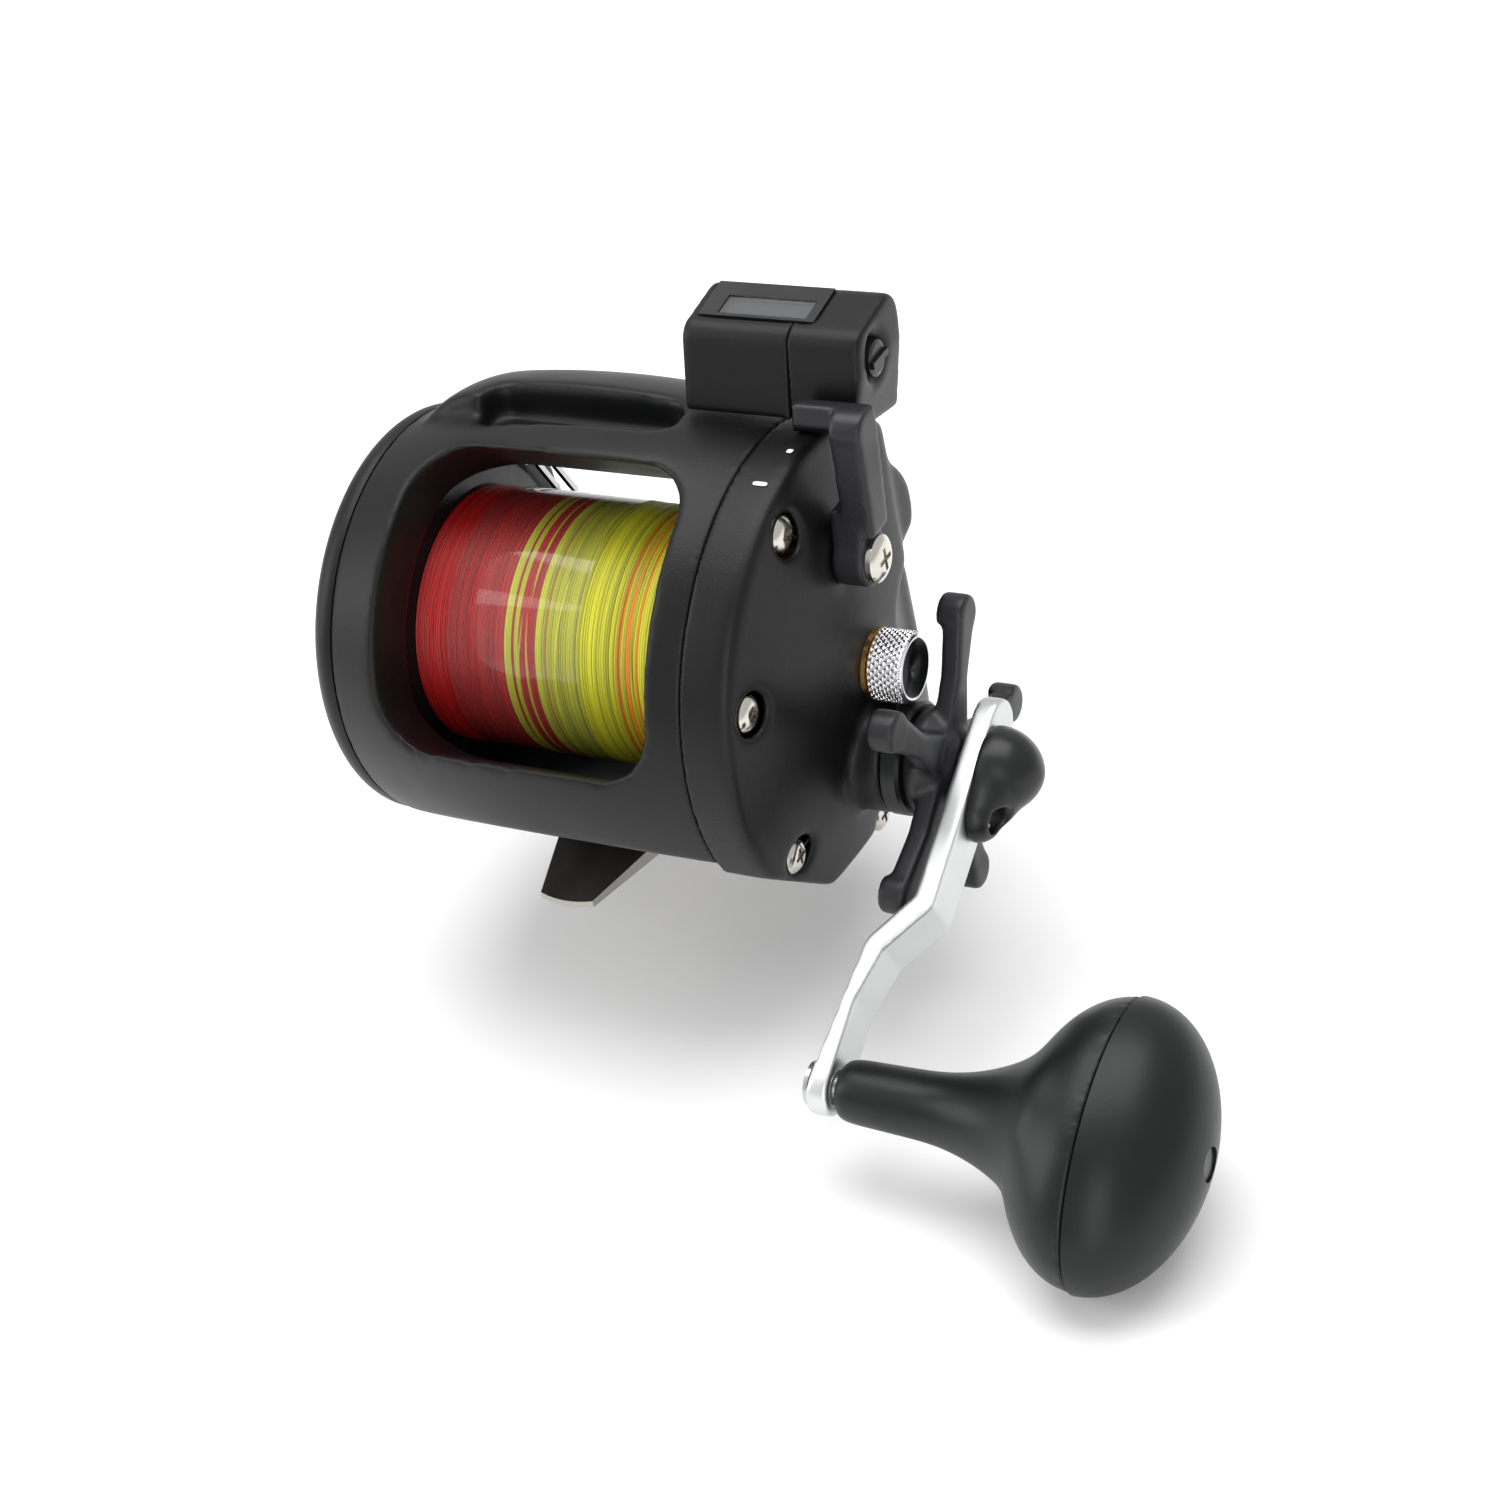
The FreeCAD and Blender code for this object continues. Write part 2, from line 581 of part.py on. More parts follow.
def make_bridge_plate():
    disc = tube("bridge_disc", 34.2, 35.2, 3.4, 30.8)
    holes = [rod("bridge_drive_hole", 30, 10, 2.54, *DRIVE), rod("bridge_worm_hole", 30, 10, 4.9, *WORM)]
    holes += [rod("bridge_post_hole_%d" % index, 30, 10, 2.8, *spot)
              for index, spot in enumerate(PLATE_SCREWS)]
    holes += [rod("bridge_pin_hole_%d" % index, 30, 10, 1.0, *GEARS[name][1])
              for index, name in enumerate(("worm_idler", "rise_low", "lift_gear"))]
    keep(cut("bridge_plate", disc, *holes, front_slope("bridge_slope", 1.7), waist("bridge_waist", 9.7)))


def make_clutch():
    """The yoke that slides the pinion, its springs, the cam and the thumb lever."""
    strap = plate("yoke_strap", [(10.6, -1.9), ((12.5, 0), (10.6, 1.9)), (-10.6, 1.9),
                                 ((-12.5, 0), (-10.6, -1.9))], 43.1, 0.7, 0, "spool_height", angle=-21.2)
    ring = tube("yoke_ring", 43.1, 43.8, 2.25, 4.2)
    bore = rod("yoke_bore", 42, 4, 2.25)
    post_holes = [rod("yoke_hole_%d" % index, 42, 4, 0.85, *spot)
                  for index, spot in enumerate(YOKE_POSTS)]
    keep(cut("pinion_yoke", fuse("yoke_body", strap, ring), bore, *post_holes))
    springs = [tube("yoke_spring_%d" % index, 44.7, 45.7, 0.86, 1.4, *spot)
               for index, spot in enumerate(YOKE_POSTS)]
    keep(group("yoke_springs", springs))
    cam_disc = tube("cam_disc", 42.2, 43.3, 0.9, 3.6, *LEVER)
    cam_nose = plate("cam_nose", [(-2.4, 0), (-1.4, -6.5), (1.4, -6.5), (2.4, 0)], 42.2, 1.1, *LEVER)
    cam_hole = rod("cam_hole", 40, 6, 1.02, *LEVER)
    keep(cut("kick_cam", fuse("cam_body", cam_disc, cam_nose), cam_hole))
    make_lever()


def make_lever():
    y, z = LEVER
    hub = rod("lever_hub", 46.05, 5.3, 4.5, y, z)
    foot = plate("lever_foot", [(-3.8, 0), (-2.2, 9), (3.0, 9), (4.2, 0)], 46.05, 5.3, y, z)
    arm = plate("lever_arm", [(-2.6, 5), (-1.7, 20.6), ((-1.0, 23.6), (1.6, 24.6)), (4.6, 24.4),
                              (4.9, 21.4), (3.0, 5)], 48.0, 5.2, y, z)
    pad = plate("lever_pad", [(0.8, 21.0), (4.8, 21.0), (4.6, 24.4), (1.6, 24.6)], 40.8, 9, y, z)
    head_room = rod("lever_head_room", 51.35, 5, 4.2, y, z)
    bore = rod("lever_screw_hole", 40, 20, 1.02, y, z)
    keep(cut("clutch_lever", fuse("lever_body", hub, foot, arm, pad), bore, head_room))
    keep(pan_screw("lever_screw_turned", 51.4, y, z, 3.7, 1.7, 1.0, 9), "lever_screw")


# ---------------------------------------------------------------- spool group
def make_spool_group():
    keep(turned("spool", [
        (-27.2, 2.41), (-27.2, 20), (-26.4, 23), (-26.4, "flange_radius"), (-24.6, "flange_radius"),
        ("line_left", "line_radius + 0.4"), ("line_left", 11), ("line_right", 11),
        ("line_right", "line_radius + 0.4"), (25.2, "flange_radius"), (27.0, "flange_radius"),
        (27.0, 23), (27.8, 20), (27.8, 2.41)]))
    keep(turned("spool_shaft", [
        (-33.4, 0), (-33.4, 1.5), (-28.2, 1.5), (-28.2, 2.4), (33.0, 2.4), (33.0, "spool_shaft_radius"),
        (51.2, "spool_shaft_radius"), (51.2, 0)]))
    keep(tube("wound_line", "line_left + 0.02", "line_right - 0.02", 11.02, "line_radius"))
    keep(tube("film_wrap", -17.5, 6.5, "line_radius + 0.02", "line_radius + 0.14"))
    keep(group("spool_bearings", [tube("left_bearing", -33.5, -29.8, 1.53, 4.98),
                                  tube("right_bearing", 48.05, 50.4, 1.53, 4.0)]))
    knurl = turned("tension_cap", [(48.6, 4.93), (48.6, 5.5), (48.9, 5.8), (54.0, 5.8), (54.5, 5.5),
                                   (54.5, 4.7), (53.4, 4.4), (53.4, 0), (52.0, 0), (52.0, 4.93)])
    keep(knurl, "tension_knob")
    keep(tube("tension_ring", 47.7, 48.5, 4.95, 5.7))


# ---------------------------------------------------------------- drive group
def make_drive_group():
    y, z = DRIVE
    keep(turned("drive_shaft", [(33.0, 0), (33.0, 2.5), (37.1, 2.5), (37.1, 7.5), (37.6, 7.5),
                                (37.6, 2.5), (69.7, "drive_shaft_radius"), (69.7, 0)], y, z))
    keep(group("drag_washers", [tube("drag_friction", 41.75, 42.3, 2.53, 9.2, y, z),
                                tube("drag_metal", 42.35, 42.8, 2.53, 8.8, y, z),
                                tube("drag_spring", 43.0, 44.6, 2.6, 4.6, y, z)]))
    keep(tube("one_way_bearing", 45.4, "boss_end - 0.3", 2.53, 7.4, y, z))
    keep(turned("boss_cap", [("boss_end + 0.05", 2.7), ("boss_end + 0.05", "boss_radius"),
                             ("cap_end - 0.5", "boss_radius"), ("cap_end", "boss_radius - 0.5"),
                             ("cap_end", 2.7)], y, z))
    make_star()


def make_star():
    """Five curved arms round a hub, their tips bent toward the side plate."""
    y, z = DRIVE
    hub = turned("star_hub", [("cap_end + 0.2", 2.55), ("cap_end + 0.2", 8.2), (57.2, 8.8), (60.0, 7.2),
                              ("arm_inner - 0.3", 4.6), ("arm_inner - 0.3", 2.55)], y, z)
    arms = []
    for index in range(5):
        turn = 90 - (48 + 72 * index)
        arms.append(plate("star_arm_%d" % index, [
            (3.9, 4), (1.9, 13.5), (2.7, "star_reach - 5"), ((0, "star_reach"), (-2.7, "star_reach - 5")),
            (-1.9, 13.5), (-3.9, 4)], 57.6, 3.4, y, z, angle=turn))
        arms.append(plate("star_tip_%d" % index, [
            (2.7, "star_reach - 5"), ((0, "star_reach"), (-2.7, "star_reach - 5"))],
            56.5, 4.6, y, z, angle=turn))
    bore = rod("star_bore", 50, 20, 2.55, y, z)
    keep(cut("star_drag", fuse("star_body", hub, *arms), bore))


# ---------------------------------------------------------------- handle
def make_handle():
    y, z = DRIVE
    inner, joggled = "arm_inner", "arm_inner - arm_joggle"
    half = "arm_wide / 2"
    side = plate("arm_side", [
        (inner, -12), (inner, 24.2), (joggled + " + 2.2", 32.4), (joggled, 60),
        (joggled + " + arm_thick", 60), (joggled + " + arm_thick", 42),
        (joggled + " + arm_thick + 2.0", 33.4), (inner + " + arm_thick", 25.4),
        (inner + " + arm_thick", -12)], 0, 12, plane="XY_Plane")
    lean = math.radians(number("arm_slope"))
    place(side, 0, y - 6 * math.sin(lean), z + 6 * math.cos(lean), (1, 0, 0),
          180 + number("arm_slope"))
    plan = plate("arm_plan", [
        ("arm_length", "-" + half), (("arm_length + arm_wide / 2", 0), ("arm_length", half)),
        (-7, half + " + 0.3"), ((-11.6, 0), (-7, "-" + half + " - 0.3"))],
        40, 40, y, z, angle=180 + number("arm_slope"))
    bores = [rod("arm_bore", 40, 60, 2.52, y, z), rod("spindle_bore", 40, 60, 2.51, *KNOB),
             rod("cap_screw_bore", 63.4, 20, 0.92, *along_arm(8.4))]
    keep(cut("handle_arm", shared("arm_blank", side, plan), *bores))
    hexagon = [(5.0 * math.cos(math.radians(60 * k)), 5.0 * math.sin(math.radians(60 * k)))
               for k in range(6)]
    keep(plate("handle_nut", hexagon, "arm_inner + arm_thick + 0.05", 3.0, y, z, holes=[(0, 0, 2.52)]))
    make_nut_cap()
    make_knob()


def along_arm(reach):
    lean = math.radians(number("arm_slope"))
    return DRIVE[0] - reach * math.cos(lean), DRIVE[1] - reach * math.sin(lean)


def make_nut_cap():
    y, z = DRIVE
    seat = number("arm_inner + arm_thick") + 0.05
    crown = turned("cap_crown", [(seat, 0), (seat, 6.9), ((seat + 5.4, 5.6), (seat + 8.8, 0.6)),
                                 (seat + 8.8, 0)], y, z)
    tail = turned("cap_tail", [(0, 0), (0, 6.9), ((4.5, 6.3), (8.4, 4.5)), ((11.2, 3.1), (12.3, 0))], 0, 0)
    lean = math.radians(number("arm_slope"))
    along = Vector(0, -math.cos(lean), -math.sin(lean))
    spin = FreeCAD.Rotation(Vector(1, 0, 0), along)
    place(tail, seat, y, z, tuple(spin.Axis), math.degrees(spin.Angle))
    point = shared("cap_point", tail, rod("cap_half", seat, 9, 20, y, z))
    hollow = rod("cap_hollow", seat - 1, 4.4, 5.4, y, z)
    well = rod("cap_well", seat + 1.2, 9, 2.2, *along_arm(8.4))
    hole = rod("cap_hole", seat - 1, 9, 0.95, *along_arm(8.4))
    keep(cut("nut_cap", fuse("cap_body", crown, point), hollow, well, hole))
    keep(pan_screw("cap_screw_turned", seat + 1.22, *along_arm(8.4), 2.1, 1.3, 0.9, 4.0), "cap_screw")


def make_knob():
    """The T-shaped power knob: a stem half and an outer half on a spindle, with an end plug."""
    seat = number("arm_inner - arm_joggle + arm_thick")
    keep(turned("knob_spindle", [(seat - 4.4, 0), (seat - 4.4, 3.4), (seat - 3.75, 3.4), (seat - 3.75, 2.5),
                                 (seat, 2.5), (seat, 2.0), (seat + 46, 2.0), (seat + 46, 0)], *KNOB))
    stem = turned("knob_stem", [(seat + 0.1, 0), (seat + 0.1, 5.0), (seat + 14, 5.4),
                                ((seat + 25, 7.8), (seat + 34, 13.4)), (seat + 41, 13.4), (seat + 41, 0)],
                  *KNOB)
    parting = seat + 43.2
    head = doc.addObject("Part::Ellipsoid", "knob_head")
    head.Radius1, head.Radius2, head.Radius3 = 14.5, 15.0, 22.3
    head.Angle1, head.Angle2 = -90, 90
    head.Placement = FreeCAD.Placement(Vector(parting, *KNOB),
                                       FreeCAD.Rotation(Vector(1, 0, 0), 180 + number("arm_slope")))
    whole = fuse("knob_whole", stem, head)
    outer_side = block("knob_outer_side", parting, KNOB[0] - 40, KNOB[1] - 40, 40, 80, 80)
    inner_side = block("knob_inner_side", seat - 10, KNOB[0] - 40, KNOB[1] - 40, 53.15, 80, 80)
    bore = rod("knob_bore", seat - 5, 52, 2.05, *KNOB)
    keep(cut("knob_inner", shared("knob_inner_half", whole, inner_side), bore))
    pocket = rod("knob_end_pocket", parting + 13.2, 9, 2.6, *KNOB)
    outer_bore = rod("knob_bore_outer", seat - 5, 52, 2.05, *KNOB)
    keep(cut("knob_outer", shared("knob_outer_half", whole, outer_side), pocket, outer_bore))
    keep(rod("knob_end_plug", parting + 13.25, 1.2, 2.6, *KNOB))


# ---------------------------------------------------------------- level wind
def make_level_wind():
    y, z = WORM
    keep(turned("worm_shaft", [(-33.0, 0), (-33.0, 1.0), (-29.7, 1.0), (-29.7, 2.4), (32.0, 2.4),
                               (32.0, 1.0), (36.9, 1.0), (36.9, 0)], y, z))
    guard = turned("guard_tube", [(-30.9, 1.03), (-30.9, "guide_radius"), (33.9, "guide_radius"),
                                  (33.9, 1.03), (32.1, 1.03), (32.1, 2.9), (-29.8, 2.9), (-29.8, 1.03)], y, z)
    slot = radial_box("guard_slot", -28.8, 57.6, 2.6, 0, 8, 180, y, z)
    keep(cut("worm_guard", guard, slot))
    keep(rod("guide_bar", -30.1, 61.8, 1.5, *GUIDE_BAR))
    make_line_guide()


def make_line_guide():
    """The carriage on the guard tube and the guide bar, with the two wires the line runs between."""
    y, z = WORM
    bar_y, bar_z = GUIDE_BAR
    rest = number("guide_rest")
    sleeve = tube("guide_sleeve", rest - 3.8, rest + 3.8, "guide_radius + 0.05", 4.6, y, z)
    boss = tube("guide_boss", rest - 3.8, rest + 3.8, 1.54, 2.9, bar_y, bar_z)
    across, rise = bar_y - y, bar_z - z
    web = plate("guide_web", [(-2, 0), (2, 0), (across + 2, rise), (across - 2, rise)], rest - 3.0, 6.0, y, z)
    head = block("guide_head", rest - 3.0, bar_y - 1.7, bar_z, 6.0, 3.4, 6.6)
    sleeve_hole = rod("guide_sleeve_hole", rest - 8, 16, "guide_radius + 0.05", y, z)
    bar_hole = rod("guide_bar_hole", rest - 8, 16, 1.54, bar_y, bar_z)
    keep(cut("line_guide", fuse("guide_body", sleeve, boss, web, head), sleeve_hole, bar_hole))
    wires = []
    for side in (-1.8, 1.8):
        foot = block("wire_foot_%d" % side, rest + side - 0.45, bar_y - 1.1, bar_z + 6.65, 0.9, 0.9, 2.6)
        lean = block("wire_lean_%d" % side, rest + side - 0.45, bar_y - 1.1, bar_z + 8.6, 0.9, 0.9, 13.5,
                     (1, 0, 0), 28)
        wires.append(fuse("wire_%d" % side, foot, lean))
    keep(group("guide_wires", wires))


# ---------------------------------------------------------------- counter
def counter_section(low_rear, low_front, inset=0.0, low_y=21.4):
    """The counter's side outline, leaning forward over the spool, as (y, z) points."""
    k = inset
    return [(4.6 + k * 1.05, low_rear), (7.4 + k, 83.8 - k * 0.4), ((8.6 + k * 0.8, 86.1 - k * 0.8),
                                                            (11.2 + k * 0.2, 87.0 - k)),
            (18.6, 88.0 - k), ((21.5 - k * 0.7, 87.0 - k * 0.7), (22.6 - k, 84.2)), (low_y - k, low_front)]


def top_block(name, left, right, start, wide, deep, tall):
    """A block lying in the counter's sloping top face; deep is measured down from the face."""
    slope = math.atan2(1.0, 7.4)
    base_y = 11.2 + start * math.cos(slope) + deep * math.sin(slope)
    base_z = 87.0 + start * math.sin(slope) - deep * math.cos(slope)
    return block(name, left, base_y, base_z, right - left, wide, tall, (1, 0, 0), math.degrees(slope))


def side_taper(name, inset):
    """A block that leans the lower part of the cover's right face inward."""
    return block(name, number("counter_right") - 3.35 - inset, -10, 60, 10, 60, 20.3, (0, 1, 0), 9.5)


def make_counter():
    left, seam, right = number("counter_left"), number("counter_seam"), number("counter_right")
    y, z = COUNTER
    bezel_pocket = [top_block("bezel_pocket_%d" % index, 21.4, 41.1, 0.3, 8.5, 0.85, 3) for index in (0, 1)]
    view = [top_block("view_hole_%d" % index, 24.2, 39.8, 0.8, 4.9, 4.0, 6) for index in (0, 1)]
    outer = plate("housing_outer", counter_section(73.7, 73.7), left, seam - left - 0.02)
    inner = plate("housing_inner", counter_section(75.2, 75.2, 1.5), left + 1.5, seam - left)
    axle_pocket = rod("axle_pocket", left + 0.6, 3, 1.04, y, z)
    keep(cut("counter_housing", outer, inner, axle_pocket, bezel_pocket[0], view[0]))

    low = plate("cover_low", counter_section(71.9, 64.4, low_y=24.4), seam, 5.2)
    high = plate("cover_high", counter_section(71.9, 67.6), seam + 4.2, right - seam - 4.2)
    low_inside = plate("cover_low_inside", counter_section(73.4, 60, 1.5, 24.7), seam - 1, 4.9)
    high_inside = plate("cover_high_inside", counter_section(73.4, 69.1, 1.5), seam + 3.8,
                        right - seam - 5.4)
    boss = rod("reset_boss", right - 3.6, 3.0, 5.6, y, z)
    tapered = cut("cover_tapered", fuse("cover_solid", low, high), side_taper("cover_taper", 0))
    room = cut("cover_room", high_inside, side_taper("room_taper", 1.6))
    shell = cut("cover_shell", tapered, low_inside, room)
    dish = doc.addObject("Part::Ellipsoid", "reset_dish")
    dish.Radius1, dish.Radius2, dish.Radius3 = 5.4, 2.6, 3.8
    place(dish, right + 0.8, y, z)
    well = rod("reset_well", right - 1.9, 6, 3.1, y, z)
    axle_hole = rod("axle_hole", right - 6, 8, 1.04, y, z)
    keep(cut("counter_cover", fuse("cover_with_boss", shell, boss), dome("cover_fit", 0.06), dish, well,
             axle_hole, bezel_pocket[1], view[1], *pin_holes("cover")))
    make_counter_inside()


def make_counter_inside():
    left, right = number("counter_left"), number("counter_right")
    y, z = COUNTER
    bezel = top_block("bezel_blank", 21.45, 41.05, 0.35, 8.4, 0.8, 0.8)
    opening = top_block("bezel_opening", 24.5, 39.5, 1.0, 4.4, 2, 4)
    keep(cut("counter_bezel", bezel, opening))
    keep(top_block("lens", 24.55, 39.45, 1.05, 4.3, 0.85, 0.6), "counter_lens")
    for index, name in enumerate(("hundreds_wheel", "tens_wheel", "units_wheel")):
        start = 24.8 + index * 4.9
        keep(tube(name, start, start + 4.5, 1.03, 4.7, y, z))
    axle = rod("axle_rod", left + 0.8, right - left - 2.8, 1.0, y, z)
    teeth, centre, phase, module = GEARS["counter_gear"]
    drive = gear("axle_gear", teeth, module, 40.3, 1.4, centre, phase, 0.5)
    keep(fuse("counter_axle", axle, drive))
    disc = turned("reset_disc", [(right - 1.8, 0), (right - 1.8, 3.0), (right - 0.2, 2.8), (right, 2.2),
                                 (right, 0)], y, z)
    ridge = block("reset_ridge", right - 0.4, y - 2.6, z - 0.5, 1.0, 5.2, 1.0)
    keep(fuse("reset_knob", disc, ridge))


# ---------------------------------------------------------------- clicker
def make_clicker():
    """A sliding button on the left plate with the tongue it pushes against the spool."""
    direction = 180
    button = radial_box("clicker_cap", -40.62, 1.2, 5.0, 14.4, 5.0, direction)
    stem = radial_box("clicker_stem", -39.4, 5.6, 3.2, 14.9, 4.0, direction)
    keep(fuse("clicker_button", button, stem))
    keep(radial_box("clicker_tongue", -33.2, 2.0, 3.0, 14.0, 5.4, direction), "clicker_tongue")


# ---------------------------------------------------------------- build and write
make_frame()
make_foot()
make_left_plate()
make_right_plate()
make_bridge_plate()
make_gears()
make_clutch()
make_spool_group()
make_drive_group()
make_handle()
make_level_wind()
make_counter()
make_clicker()
doc.recompute()

for item in doc.Objects:
    if "Invalid" in item.State or "Error" in item.State:
        raise RuntimeError("%s did not build: %s" % (item.Label, item.State))
for node in nodes:
    if node.Shape.isNull() or not node.Shape.isValid():
        raise RuntimeError("%s has no valid shape" % node.Label)
    if not node.Shape.Solids:
        raise RuntimeError("%s has no solid" % node.Label)
    node.Shape.exportStep("parts/%s.step" % node.Label)
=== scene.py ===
import json
import math

import bmesh
import bpy
import numpy as np
from mathutils import Matrix, Vector


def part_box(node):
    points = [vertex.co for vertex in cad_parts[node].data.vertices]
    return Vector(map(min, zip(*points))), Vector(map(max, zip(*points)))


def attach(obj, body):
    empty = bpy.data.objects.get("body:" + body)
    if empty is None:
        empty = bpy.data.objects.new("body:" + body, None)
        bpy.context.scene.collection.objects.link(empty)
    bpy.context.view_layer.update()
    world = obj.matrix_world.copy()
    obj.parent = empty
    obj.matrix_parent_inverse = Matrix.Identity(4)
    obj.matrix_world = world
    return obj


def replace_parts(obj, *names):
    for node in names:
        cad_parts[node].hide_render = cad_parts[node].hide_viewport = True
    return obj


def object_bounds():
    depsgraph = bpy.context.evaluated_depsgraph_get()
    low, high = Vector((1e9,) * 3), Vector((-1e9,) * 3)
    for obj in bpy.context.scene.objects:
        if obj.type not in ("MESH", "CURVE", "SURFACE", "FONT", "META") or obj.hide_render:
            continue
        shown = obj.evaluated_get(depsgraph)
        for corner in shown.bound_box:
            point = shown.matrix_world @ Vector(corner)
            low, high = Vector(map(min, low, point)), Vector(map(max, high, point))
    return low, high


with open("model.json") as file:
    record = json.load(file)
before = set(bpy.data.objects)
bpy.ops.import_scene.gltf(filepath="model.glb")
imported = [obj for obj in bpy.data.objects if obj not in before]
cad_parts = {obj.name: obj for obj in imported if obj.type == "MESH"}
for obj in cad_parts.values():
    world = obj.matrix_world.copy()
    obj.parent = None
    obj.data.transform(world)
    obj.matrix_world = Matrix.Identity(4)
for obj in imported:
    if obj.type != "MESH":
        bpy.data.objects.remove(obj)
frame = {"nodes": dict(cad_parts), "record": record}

cad_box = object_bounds()
MM = 0.001
FULL_TURN = 2 * math.pi

# ---------------------------------------------------------------- places read from the frame
joints = {joint["name"]: joint for joint in frame["record"]["behaviour"]["joints"]}


def axis_of(joint):
    """The (y, z) of a joint's axis, which lies along X."""
    return joints[joint]["pos_m"][1:]


SPOOL_Y, SPOOL_Z = axis_of("spool_spin")
COUNTER_Y, COUNTER_Z = axis_of("counter_spin")


# ---------------------------------------------------------------- materials
NOISE_LOW, NOISE_HIGH = 0.3, 0.7
BLEND_DETAIL = 3.0
GRAIN_DETAIL = 2.0
ROUND = (1, 1, 1)
CLEAR_TINT = (0.96, 0.97, 0.97, 1)
CLEAR_IOR = 1.45
CLEAR_GLOSS = 0.06


class Look:
    """A node material built up in steps round one Principled shader."""

    def __init__(self, name, color, metallic=0.0, sheen=0.5):
        self.name = name
        self.material = bpy.data.materials.new(name)
        self.material.use_nodes = True
        self.nodes = self.material.node_tree.nodes
        self.links = self.material.node_tree.links
        self.shader = self.nodes["Principled BSDF"]
        self.shader.inputs["Base Color"].default_value = (*color, 1)
        self.shader.inputs["Metallic"].default_value = metallic
        self.shader.inputs["Specular IOR Level"].default_value = sheen
        self.place = self.nodes.new("ShaderNodeTexCoord").outputs["Object"]

    def noise(self, scale, detail, stretch):
        """A noise factor that follows the piece, stretched along its axes."""
        mapping = self.nodes.new("ShaderNodeMapping")
        mapping.inputs["Scale"].default_value = stretch
        self.links.new(self.place, mapping.inputs["Vector"])
        noise = self.nodes.new("ShaderNodeTexNoise")
        noise.inputs["Scale"].default_value = scale
        noise.inputs["Detail"].default_value = detail
        self.links.new(mapping.outputs["Vector"], noise.inputs["Vector"])
        return noise.outputs["Fac"]

    def spread(self, factor, low, high):
        """Map a noise factor to a range."""
        ramp = self.nodes.new("ShaderNodeMapRange")
        ramp.inputs["From Min"].default_value = NOISE_LOW
        ramp.inputs["From Max"].default_value = NOISE_HIGH
        ramp.inputs["To Min"].default_value = low
        ramp.inputs["To Max"].default_value = high
        self.links.new(factor, ramp.inputs["Value"])
        return ramp.outputs["Result"]

    def even(self, roughness):
        self.shader.inputs["Roughness"].default_value = roughness
        return self

    def uneven(self, scale, low, high, stretch=ROUND):
        """A roughness that wanders between two values."""
        self.links.new(self.spread(self.noise(scale, BLEND_DETAIL, stretch), low, high),
                       self.shader.inputs["Roughness"])
        return self

    def mottled(self, scale, other):
        """A colour that wanders from the base colour to another."""
        mix = self.nodes.new("ShaderNodeMix")
        mix.data_type = "RGBA"
        mix.inputs["A"].default_value = self.shader.inputs["Base Color"].default_value
        mix.inputs["B"].default_value = (*other, 1)
        self.links.new(self.spread(self.noise(scale, BLEND_DETAIL, ROUND), 0, 1), mix.inputs["Factor"])
        self.links.new(mix.outputs["Result"], self.shader.inputs["Base Color"])
        return self

    def grain(self, scale, strength, depth_mm, stretch=ROUND):
        bump = self.nodes.new("ShaderNodeBump")
        bump.inputs["Strength"].default_value = strength
        bump.inputs["Distance"].default_value = depth_mm * MM
        self.links.new(self.noise(scale, GRAIN_DETAIL, stretch), bump.inputs["Height"])
        self.links.new(bump.outputs["Normal"], self.shader.inputs["Normal"])
        return self

    def from_attribute(self, attribute):
        source = self.nodes.new("ShaderNodeAttribute")
        source.attribute_name = attribute
        self.links.new(source.outputs["Color"], self.shader.inputs["Base Color"])
        return self

    def see_through(self, clear):
        """Mostly transparent, with a glossy outer skin that grows toward grazing views."""
        hole = self.nodes.new("ShaderNodeBsdfTransparent")
        hole.inputs["Color"].default_value = CLEAR_TINT
        body = self.nodes.new("ShaderNodeMixShader")
        body.inputs["Fac"].default_value = clear
        self.links.new(self.shader.outputs["BSDF"], body.inputs[1])
        self.links.new(hole.outputs["BSDF"], body.inputs[2])
        shine = self.nodes.new("ShaderNodeBsdfGlossy")
        shine.inputs["Roughness"].default_value = CLEAR_GLOSS
        fresnel = self.nodes.new("ShaderNodeFresnel")
        fresnel.inputs["IOR"].default_value = CLEAR_IOR
        side = self.nodes.new("ShaderNodeNewGeometry")
        outside = self.nodes.new("ShaderNodeMath")
        outside.operation = "SUBTRACT"
        outside.use_clamp = True
        self.links.new(fresnel.outputs["Fac"], outside.inputs[0])
        self.links.new(side.outputs["Backfacing"], outside.inputs[1])
        skin = self.nodes.new("ShaderNodeMixShader")
        self.links.new(outside.outputs["Value"], skin.inputs["Fac"])
        self.links.new(body.outputs["Shader"], skin.inputs[1])
        self.links.new(shine.outputs["BSDF"], skin.inputs[2])
        self.links.new(skin.outputs["Shader"], self.nodes["Material Output"].inputs["Surface"])
        return self


def line_look(name, color):
    """Braided line: an even sheen and a fine weave."""
    return Look(name, color).even(0.42).grain(9000, 0.5, 0.08)


